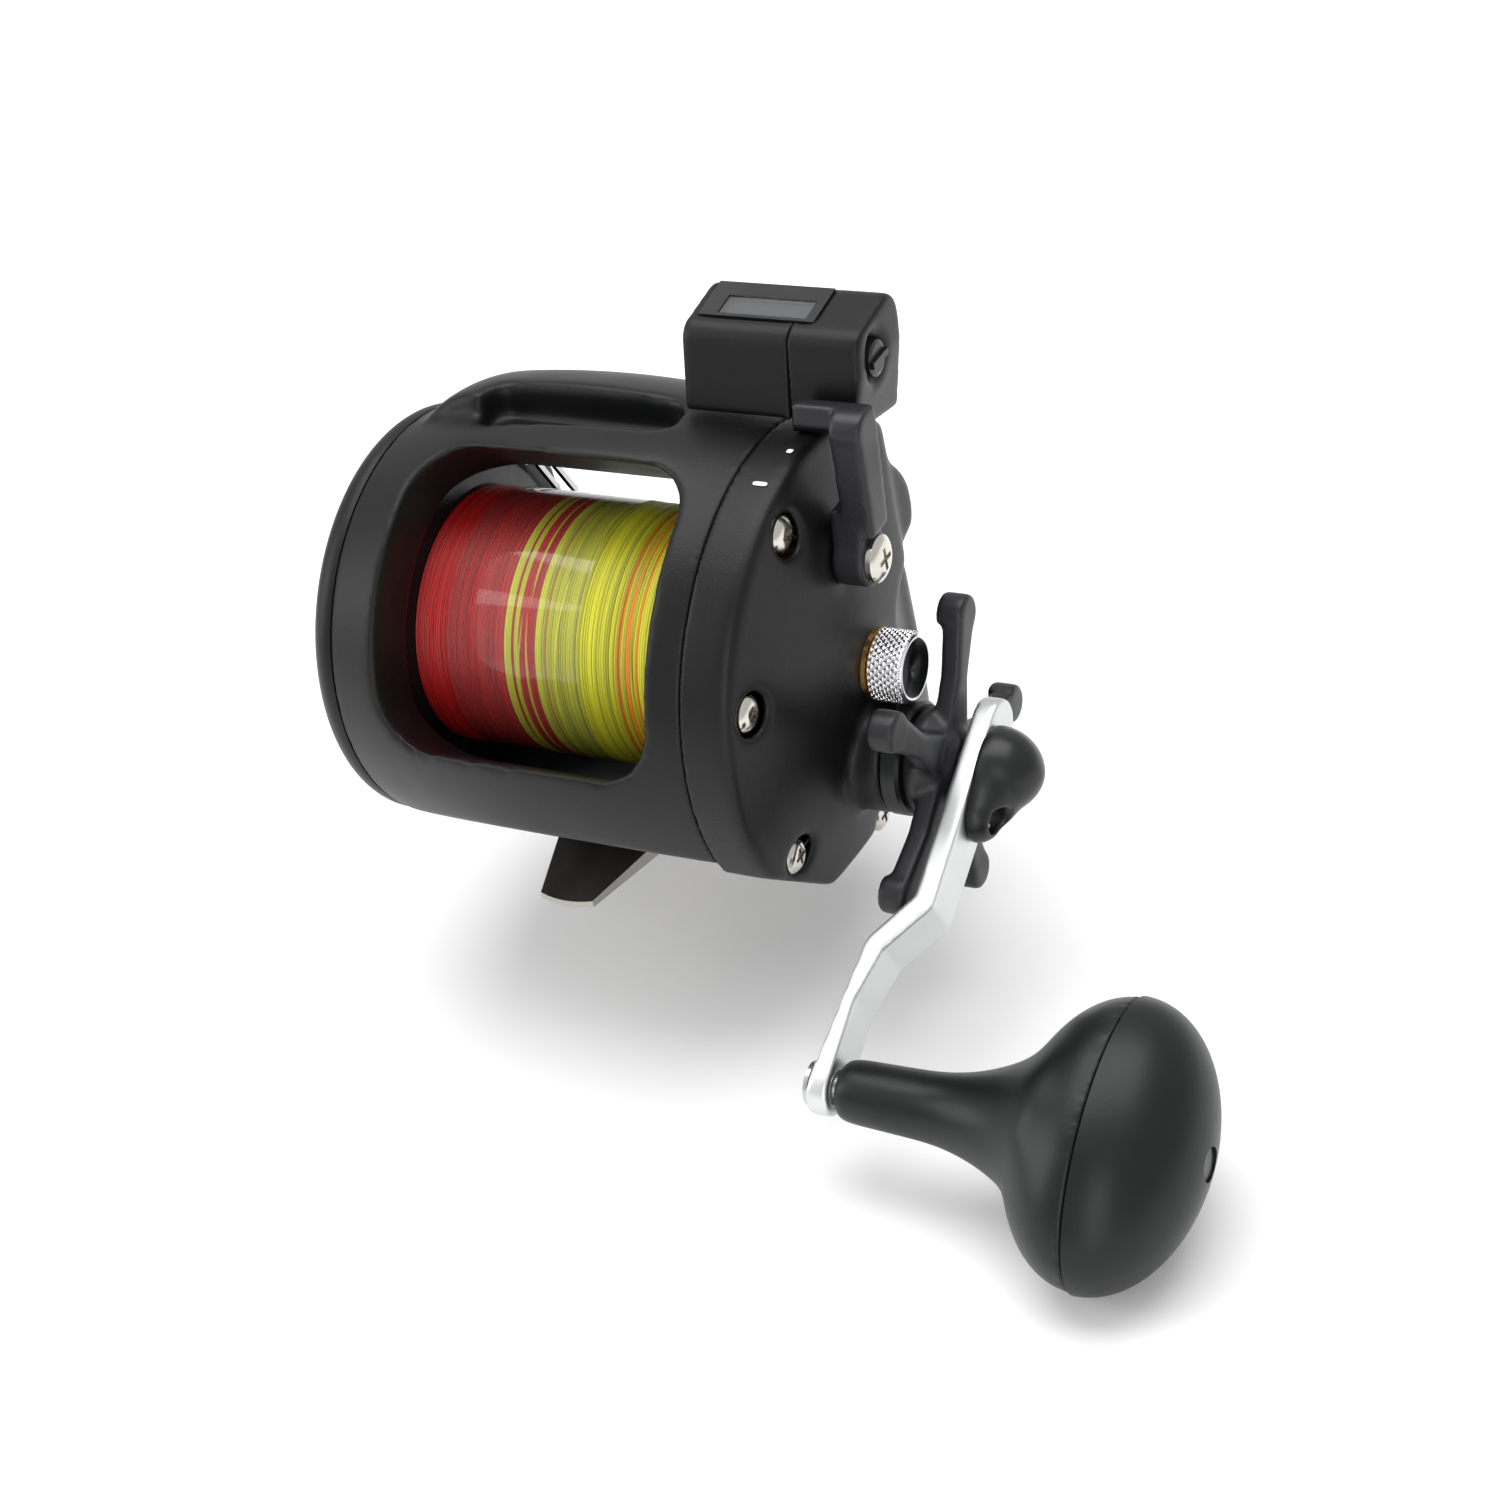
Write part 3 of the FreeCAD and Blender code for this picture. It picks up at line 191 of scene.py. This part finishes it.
def make_looks():
    built = [
        Look("housing", (0.0035, 0.0036, 0.004), sheen=0.26).uneven(60, 0.36, 0.44).grain(
            2600, 0.22, 0.12),
        Look("bezel", (0.008, 0.008, 0.009)).uneven(80, 0.26, 0.38).grain(2200, 0.12, 0.1),
        Look("satin", (0.010, 0.010, 0.012), sheen=0.4).uneven(120, 0.34, 0.46).grain(
            3200, 0.3, 0.1),
        Look("cap", (0.006, 0.0065, 0.007), sheen=0.38).uneven(90, 0.28, 0.38).grain(
            2400, 0.15, 0.1),
        Look("soft", (0.003, 0.0045, 0.0045), sheen=0.32).uneven(50, 0.32, 0.42).grain(
            1800, 0.12, 0.1),
        Look("nickel", (0.62, 0.59, 0.54), 1.0).uneven(300, 0.12, 0.26),
        Look("chrome", (0.80, 0.80, 0.82), 1.0).uneven(200, 0.07, 0.16),
        Look("brass", (0.75, 0.48, 0.17), 1.0).uneven(300, 0.18, 0.3),
        Look("silver", (0.66, 0.67, 0.67), 1.0).uneven(250, 0.38, 0.48).grain(5200, 0.12, 0.06),
        Look("foot", (0.42, 0.40, 0.37), 1.0).uneven(400, 0.28, 0.40, (1, 0.05, 1)).grain(
            3000, 0.03, 0.02, (1, 0.04, 1)),
        Look("steel", (0.50, 0.50, 0.51), 1.0).uneven(500, 0.22, 0.36),
        Look("acetal", (0.66, 0.64, 0.58)).even(0.45).mottled(60, (0.72, 0.70, 0.65)),
        Look("wheel", (0.76, 0.76, 0.74)).even(0.4).mottled(80, (0.84, 0.84, 0.82)),
        Look("spool", (0.016, 0.016, 0.018), 0.6).uneven(300, 0.22, 0.36, (0.05, 1, 1)),
        Look("ink", (0.72, 0.72, 0.72)).uneven(400, 0.45, 0.6),
        Look("digit", (0.01, 0.01, 0.012)).uneven(400, 0.45, 0.6),
        line_look("line", (0.6, 0.6, 0.1)).from_attribute("line_color"),
        Look("film", (0.9, 0.9, 0.9)).even(0.1).see_through(0.985),
        Look("lens", (0.75, 0.78, 0.8)).even(0.08).see_through(0.93)]
    return {look.name: look.material for look in built}


looks = make_looks()


def paint(piece, look):
    piece.data.materials.clear()
    piece.data.materials.append(looks[look])


# ---------------------------------------------------------------- mesh helpers
def link(name, data):
    piece = bpy.data.objects.new(name, data)
    bpy.context.scene.collection.objects.link(piece)
    return piece


def new_piece(name, mesh, look, body, smooth=True):
    piece = link(name, mesh)
    paint(piece, look)
    if smooth:
        mesh.polygons.foreach_set("use_smooth", np.ones(len(mesh.polygons), bool))
    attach(piece, body)
    return piece


def ring(theta, x, radius):
    """Points in mm round the spool's axis; x and radius are single or one for each angle."""
    return np.stack([x + 0 * theta, SPOOL_Y / MM + radius * np.cos(theta),
                     SPOOL_Z / MM + radius * np.sin(theta)], 1)


def ring_mesh(name, rings):
    """Rings of points in mm joined side by side, with a face over each end."""
    around = len(rings[0])
    here = np.arange(around)
    there = (here + 1) % around
    first = np.stack([here, there, there + around, here + around], 1)
    quads = np.concatenate([first + row * around for row in range(len(rings) - 1)])
    mesh = bpy.data.meshes.new(name)
    mesh.from_pydata((np.concatenate(rings) * MM).tolist(), [], quads.tolist())
    build = bmesh.new()
    build.from_mesh(mesh)
    build.verts.ensure_lookup_table()
    last = (len(rings) - 1) * around
    build.faces.new([build.verts[k] for k in range(around)])
    build.faces.new([build.verts[last + k] for k in reversed(range(around))])
    build.to_mesh(mesh)
    build.free()
    return mesh


def relax(points, edges, rounds, weight):
    """Move every point toward its neighbours' mean, many times over."""
    ends = np.concatenate([edges, edges[:, ::-1]])
    count = np.bincount(ends[:, 0], minlength=len(points))[:, None]
    for _ in range(rounds):
        total = np.stack([np.bincount(ends[:, 0], weights=points[ends[:, 1], k], minlength=len(points))
                          for k in range(3)], axis=1)
        points = points + weight[:, None] * (total / np.maximum(count, 1) - points)
    return points


RELAX_WEIGHT = 0.5
SEAM_WEIGHT = 0.04
BARREL_SEAM, COUNTER_SEAM, KNOB_SEAM = 0.5, 0.4, 0.7


def moulded(node, body, look, slot, voxel_mm, rounds, seam=None):
    """A softly rounded copy of a CAD node, as moulding would leave it.

    seam(x in mm) is true where the edges stay nearly sharp."""
    work = link(node + "_work", frame["nodes"][node].data.copy())
    remesh = work.modifiers.new("remesh", "REMESH")
    remesh.mode = "VOXEL"
    remesh.voxel_size = voxel_mm * MM
    ready = work.evaluated_get(bpy.context.evaluated_depsgraph_get())
    mesh = bpy.data.meshes.new_from_object(ready)
    bpy.data.objects.remove(work)
    points = np.empty(len(mesh.vertices) * 3)
    mesh.vertices.foreach_get("co", points)
    points = points.reshape(-1, 3)
    edges = np.empty(len(mesh.edges) * 2, int)
    mesh.edges.foreach_get("vertices", edges)
    weight = np.full(len(points), RELAX_WEIGHT)
    if seam:
        weight[seam(points[:, 0] / MM)] = SEAM_WEIGHT
    points = relax(points, edges.reshape(-1, 2), rounds, weight)
    mesh.vertices.foreach_set("co", points.ravel())
    mesh.name = node + "_moulded"
    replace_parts(new_piece(node + "_moulded", mesh, look, body), node)


# ---------------------------------------------------------------- moulded pieces
def make_moulded_pieces():
    """The two numbers of each piece are its voxel in mm and the rounds of relaxing."""
    barrel_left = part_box("left_side_plate")[1][0] / MM
    barrel_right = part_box("right_side_plate")[0][0] / MM
    counter_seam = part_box("counter_housing")[1][0] / MM
    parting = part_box("knob_outer")[0][0] / MM
    shell = ("reel_body", "housing", "housing_plastic")
    moulded("frame", *shell, 0.5, 26, lambda x: (
        (x < barrel_left + BARREL_SEAM) | (x > barrel_right - BARREL_SEAM)))
    moulded("right_side_plate", *shell, 0.45, 24, lambda x: x < barrel_right + BARREL_SEAM)
    moulded("counter_housing", *shell, 0.35, 26, lambda x: x > counter_seam - COUNTER_SEAM)
    moulded("counter_cover", *shell, 0.35, 26, lambda x: x < counter_seam + COUNTER_SEAM)
    moulded("nut_cap", "handle_unit", "cap", "cap_plastic", 0.28, 26)
    moulded("star_drag", "star_unit", "satin", "lever_satin", 0.32, 16)
    moulded("clutch_lever", "lever_unit", "satin", "lever_satin", 0.3, 16)
    moulded("handle_arm", "handle_unit", "silver", "arm_silver", 0.32, 8)
    moulded("knob_inner", "knob_unit", "soft", "knob_soft", 0.6, 46,
            lambda x: x > parting - KNOB_SEAM)


# ---------------------------------------------------------------- line on the spool
RED = np.array((0.50, 0.012, 0.010))
YELLOW = np.array((0.62, 0.60, 0.03))
ORANGE = np.array((0.75, 0.22, 0.015))
GREEN = np.array((0.25, 0.28, 0.03))
RED_END, MIX_END = -7.5, -1.5
ORANGE_BANDS = ((MIX_END, 1.5), (13, 18))
RED_SHARE, ORANGE_SHARE, GREEN_SHARE = 0.45, 0.3, 0.12
DARKEST, BRIGHTEST = 0.78, 1.12

LINE_SEED = 11
TURNS = 112
LINE_AROUND = 180
LINE_ACROSS = 6
TURN_DEPTH = 0.27
TURN_CROWN = 0.24
CROWN_POWER = 0.6
TURN_SINK = 0.16
TURN_SWAY = 0.08
RISE_SHARE = 0.6
# (height in mm, waves round the spool, share of the turn's own tilt)
TURN_WAVES = ((0.05, 2, 1), (0.03, 5, 2.1))
# painted shade: the share of a turn's colour kept in the groove ring between turns
GROOVE_PAINTED_SHADE = 0.35
CROSS_TURNS = 9
CROSS_RADIUS = 0.17
CROSS_STEPS = 70
CROSS_REACH = 1.3 * math.pi
CROSS_ROUNDNESS = 2
CROSS_FROM_LEFT, CROSS_FROM_RIGHT = 3, 8
CROSS_SLANT = (2.5, 5.0)
CROSS_DEPTH = 0.12
END_SINK, END_POWER = 0.28, 8


def line_color(x, rng):
    """The colour of one turn by its place across the spool, in mm."""
    if x < RED_END:
        base = RED
    elif x < MIX_END:
        base = RED if rng.random() < RED_SHARE else YELLOW
    else:
        base = YELLOW
    for low, high in ORANGE_BANDS:
        if low < x < high and rng.random() < ORANGE_SHARE:
            base = ORANGE
    if x > MIX_END and rng.random() < GREEN_SHARE:
        base = base * 0.5 + GREEN * 0.5
    return base * rng.uniform(DARKEST, BRIGHTEST)


def line_turn(theta, left, pitch, radius, height, tilt):
    """The rings of points, in mm, across one rounded turn of line."""
    wave = sum(tall * np.sin(theta * count + share * tilt) for tall, count, share in TURN_WAVES)
    rings = []
    for step in range(LINE_ACROSS):
        part = step / LINE_ACROSS
        bulge = math.sin(math.pi * part)
        x = left + part * pitch + TURN_SWAY * np.sin(theta + tilt) * bulge
        reach = radius - TURN_DEPTH + bulge ** CROWN_POWER * TURN_CROWN + (height + wave) * RISE_SHARE
        rings.append(ring(theta, x, reach))
    return rings


def make_line():
    """The pack of line: rounded turns side by side, each with its own height, tilt and colour."""
    low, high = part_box("wound_line")
    radius = (high[2] - low[2]) / 2 / MM
    left, right = low[0] / MM, high[0] / MM
    rng = np.random.default_rng(LINE_SEED)
    pitch = (right - left) / TURNS
    heights = rng.uniform(-TURN_SINK, 0.0, TURNS)
    tilts = rng.uniform(0, FULL_TURN, TURNS)
    theta = np.linspace(0, FULL_TURN, LINE_AROUND, endpoint=False)
    # painted shade: the first ring of each turn, down in the groove between turns, is painted darker
    # than the rest
    step_painted_shade = np.array([GROOVE_PAINTED_SHADE] + [1.0] * (LINE_ACROSS - 1))
    rings, colors_and_painted_shade = [], []
    for turn in range(TURNS):
        start = left + turn * pitch
        color = line_color(left + (turn + 0.5) * pitch, rng)
        rings += line_turn(theta, start, pitch, radius, heights[turn], tilts[turn])
        colors_and_painted_shade.append(np.repeat(step_painted_shade[:, None] * color, LINE_AROUND, 0))
    colors_and_painted_shade = np.concatenate(colors_and_painted_shade)
    mesh = ring_mesh("line_turns", rings)
    # the attribute holds each turn's colour, with painted shade in the groove between turns
    attribute = mesh.color_attributes.new("line_color", "FLOAT_COLOR", "POINT")
    attribute.data.foreach_set("color", np.concatenate([colors_and_painted_shade, np.ones((len(colors_and_painted_shade), 1))], 1).ravel())
    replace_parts(new_piece("line_turns", mesh, "line", "spool_unit"), "wound_line")
    make_cross_turns(radius, left, right, rng)


def make_cross_turns(radius, left, right, rng):
    """A few turns of line that cross the others at a slant, as a level wind leaves them."""
    for index in range(CROSS_TURNS):
        start = rng.uniform(left + CROSS_FROM_LEFT, right - CROSS_FROM_RIGHT)
        slant = rng.uniform(*CROSS_SLANT) * rng.choice((-1, 1))
        begin = rng.uniform(0, FULL_TURN)
        curve = bpy.data.curves.new("cross_turn_%d" % index, "CURVE")
        curve.dimensions = "3D"
        curve.bevel_depth = CROSS_RADIUS * MM
        curve.bevel_resolution = CROSS_ROUNDNESS
        share = np.linspace(0, 1, CROSS_STEPS)
        reach = radius - CROSS_DEPTH - END_SINK * np.abs(2 * share - 1) ** END_POWER
        places = ring(begin + share * CROSS_REACH, start + slant * share, reach) * MM
        path = curve.splines.new("POLY")
        path.points.add(CROSS_STEPS - 1)
        for point, spot in zip(path.points, places):
            point.co = (*spot, 1)
        strand = link("cross_turn_%d" % index, curve)
        color = line_color(start + slant / 2, rng)
        curve.materials.append(line_look("cross_line_%d" % index, tuple(color)).material)
        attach(strand, "spool_unit")


# ---------------------------------------------------------------- tension knob
KNURL_AROUND = 384
KNURL_ALONG = 64
KNURL_TEETH = 30
KNURL_LEAD = 1.32
KNURL_DEPTH = 0.34
KNURL_SLOPE = 1.7


def make_tension_knob():
    """A cap with a cut diamond knurl and a recessed end, from rows of x, reach and knurl share."""
    low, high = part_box("tension_knob")
    start, end = low[0] / MM, high[0] / MM
    radius = (high[2] - low[2]) / 2 / MM
    theta = np.linspace(0, FULL_TURN, KNURL_AROUND, endpoint=False)
    base = [(start, radius - 1.0, 0.0), (start, radius - 0.45, 0.0)]
    band = [(x, radius, 1.0) for x in np.linspace(start + 0.35, end - 0.6, KNURL_ALONG)]
    rim = [(end - 0.25, radius - 0.25, 0.0), (end, radius - 0.6, 0.0), (end, radius - 1.1, 0.0)]
    recess = [(end - 0.9, radius - 1.45, 0.0), (end - 1.1, 0.4, 0.0)]
    rings = []
    for x, reach, knurl in base + band + rim + recess:
        grooves = [np.abs((theta / FULL_TURN * KNURL_TEETH + lead) % 1 * 2 - 1)
                   for lead in (x / KNURL_LEAD, -x / KNURL_LEAD)]
        cut = 1 - np.minimum(1, np.minimum(*grooves) * KNURL_SLOPE)
        rings.append(ring(theta, x, reach - knurl * KNURL_DEPTH * cut))
    mesh = ring_mesh("tension_knob_knurled", rings)
    piece = new_piece("tension_knob_knurled", mesh, "chrome", "tension_unit")
    mesh.materials.append(looks["cap"])
    dark_from = (len(rings) - 1 - len(recess)) * KNURL_AROUND
    for face in mesh.polygons:
        if face.index >= dark_from:
            face.material_index = 1
    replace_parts(piece, "tension_knob")


# ---------------------------------------------------------------- counter
DIGITS = 10
DIGIT_TALL = 3.4
DIGIT_THICK = 0.05
DIGIT_LIFT = 0.03
ZERO_DIRECTION = 18


def make_digits():
    """The digits 0 to 9 round each of the three counter wheels."""
    for wheel, body in (("hundreds_wheel", "hundreds_unit"), ("tens_wheel", "tens_unit"),
                        ("units_wheel", "counter_unit")):
        low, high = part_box(wheel)
        lift = (high[2] - low[2]) / 2 + DIGIT_LIFT * MM
        centre = Matrix.Translation(((low[0] + high[0]) / 2, COUNTER_Y, COUNTER_Z))
        for digit in range(DIGITS):
            name = "%s_digit_%d" % (wheel, digit)
            text = bpy.data.curves.new(name, "FONT")
            text.body = str(digit)
            text.size = DIGIT_TALL * MM
            text.extrude = DIGIT_THICK * MM
            text.align_x = "CENTER"
            text.align_y = "CENTER"
            text.materials.append(looks["digit"])
            mark = link(name, text)
            lean = math.radians(ZERO_DIRECTION + 360 / DIGITS * digit)
            mark.matrix_world = centre @ Matrix.Rotation(lean, 4, "X") @ Matrix.Translation((0, 0, lift))
            bpy.context.view_layer.update()
            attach(mark, body)


# ---------------------------------------------------------------- marks by the lever
# name: (x in mm, direction from the rear in degrees, width along X and height round the plate in mm)
MARKS = {"mark_engaged": (40.2, 89, 1.0, 1.0), "mark_free": (38.9, 77, 2.4, 0.8)}
MARK_STEPS = 28
MARK_SQUARENESS = 0.6
MARK_THICK = 0.05
MARK_REACH, MARK_LIFT = 38.0, 0.03


def squared(value):
    """A sine or cosine pushed toward its extremes, which squares a circle's corners."""
    return math.copysign(abs(value) ** MARK_SQUARENESS, value)


def make_marks():
    """A dot and a bar by the clutch lever: plain marks for its two settings."""
    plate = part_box("right_side_plate")[1][2] - SPOOL_Z
    radius = min(plate, MARK_REACH * MM) + MARK_LIFT * MM
    for name, (x, direction, wide, tall) in MARKS.items():
        corners = []
        for step in range(MARK_STEPS):
            lean = FULL_TURN * step / MARK_STEPS
            along = squared(math.cos(lean)) * wide / 2
            across = squared(math.sin(lean)) * tall / 2
            spot = math.radians(direction) + across * MM / radius
            corners.append(((x + along) * MM, SPOOL_Y - radius * math.cos(spot),
                            SPOOL_Z + radius * math.sin(spot)))
        mesh = bpy.data.meshes.new(name)
        mesh.from_pydata(corners, [], [list(range(MARK_STEPS))])
        mark = new_piece(name, mesh, "ink", "reel_body", smooth=False)
        thick = mark.modifiers.new("ink_thickness", "SOLIDIFY")
        thick.thickness = MARK_THICK * MM
        thick.offset = 0


# ---------------------------------------------------------------- CAD nodes kept as they are
# look: (width of the broken edge in mm, nodes)
KEPT = {
    "housing": (0.3, ("left_side_plate",)),
    "nickel": (0.18, ("right_plate_screws", "left_plate_screws", "lever_screw", "cap_screw",
                      "foot_screws")),
    "foot": (0.35, ("reel_foot",)),
    "brass": (0.12, ("tension_ring", "main_gear", "rise_gear", "counter_axle")),
    "bezel": (0.15, ("counter_bezel",)),
    "cap": (0.25, ("boss_cap", "reset_knob", "knob_end_plug", "line_guide", "clicker_button")),
    "soft": (0.5, ("knob_outer",)),
    "spool": (0.4, ("spool",)),
    "lens": (0.05, ("counter_lens",)),
    "film": (0.0, ("film_wrap",)),
    "wheel": (0.15, ("hundreds_wheel", "tens_wheel", "units_wheel")),
    "acetal": (0.06, ("spool_gear", "worm_idler", "worm_gear", "lift_gear", "turn_gear", "neck_gear")),
    "steel": (0.08, ("drive_shaft", "spool_shaft", "pinion_gear", "knob_spindle", "handle_nut",
                     "guide_bar", "worm_shaft", "worm_guard", "gear_pins", "bridge_plate",
                     "spool_bearings", "one_way_bearing", "yoke_springs", "pinion_yoke", "kick_cam",
                     "guide_wires", "clicker_tongue", "drag_washers")),
}
BREAK_SEGMENTS = 3
BREAK_ANGLE = math.radians(35)


def finish_kept_nodes():
    """Paint the other CAD nodes and break their sharp edges."""
    for look, (width, names) in KEPT.items():
        for name in names:
            piece = frame["nodes"][name]
            paint(piece, look)
            if width:
                bevel = piece.modifiers.new("edge_break", "BEVEL")
                bevel.width = width * MM
                bevel.segments = BREAK_SEGMENTS
                bevel.limit_method = "ANGLE"
                bevel.angle_limit = BREAK_ANGLE


# ---------------------------------------------------------------- stage
FLOOR_REACH = 4.0
FLOOR_GAP = 0.5 * MM
WORLD_STRENGTH = 0.7
LIGHT_TARGET = Vector((0.02, 0.0, 0.03))
# name: (place in m, size in m, power in W)
LIGHTS = {
    "top_soft": ((0.0, 0.10, 0.75), (0.9, 0.6), 6.0),
    "left_soft": ((-0.75, -0.45, 0.45), (0.5, 0.7), 3.0),
    "front_strip": ((0.35, -0.75, 0.30), (0.25, 0.7), 1.6),
}


def make_floor():
    z = cad_box[0][2] - FLOOR_GAP
    corners = [(x * FLOOR_REACH, y * FLOOR_REACH, z) for x, y in ((-1, -1), (1, -1), (1, 1), (-1, 1))]
    mesh = bpy.data.meshes.new("floor")
    mesh.from_pydata(corners, [], [(0, 1, 2, 3)])
    mesh.materials.append(Look("floor_paper", (0.92, 0.92, 0.92)).even(0.9).material)
    link("floor", mesh)


def make_lights():
    world = bpy.data.worlds.new("studio")
    world.use_nodes = True
    background = world.node_tree.nodes["Background"]
    background.inputs["Color"].default_value = (1, 1, 1, 1)
    background.inputs["Strength"].default_value = WORLD_STRENGTH
    bpy.context.scene.world = world
    for name, (place, size, power) in LIGHTS.items():
        light = bpy.data.lights.new(name, "AREA")
        light.shape = "RECTANGLE"
        light.size, light.size_y = size
        light.energy = power
        lamp = link(name, light)
        lamp.location = place
        lamp.rotation_euler = (LIGHT_TARGET - Vector(place)).to_track_quat("-Z", "Y").to_euler()
    bpy.context.scene.view_settings.view_transform = "Standard"


CAMERA_PLACE = (0.23689, -0.32325, 0.28703)
CAMERA_RIGHT = Vector((0.88141, 0.43821, -0.17631))
CAMERA_UP = Vector((-0.13294, 0.5883, 0.79764))
CAMERA_LENS = 69.84
CAMERA_SENSOR = 36.0
CAMERA_CLIP = 0.01


def make_camera():
    camera = bpy.data.cameras.new("camera")
    camera.lens = CAMERA_LENS
    camera.sensor_width = CAMERA_SENSOR
    camera.clip_start = CAMERA_CLIP
    back = CAMERA_RIGHT.cross(CAMERA_UP)
    turn = Matrix((CAMERA_RIGHT, CAMERA_UP, back)).transposed().to_4x4()
    eye = link("camera", camera)
    eye.matrix_world = Matrix.Translation(CAMERA_PLACE) @ turn
    bpy.context.scene.camera = eye


make_moulded_pieces()
make_line()
make_tension_knob()
make_digits()
make_marks()
finish_kept_nodes()
make_floor()
make_lights()
make_camera()
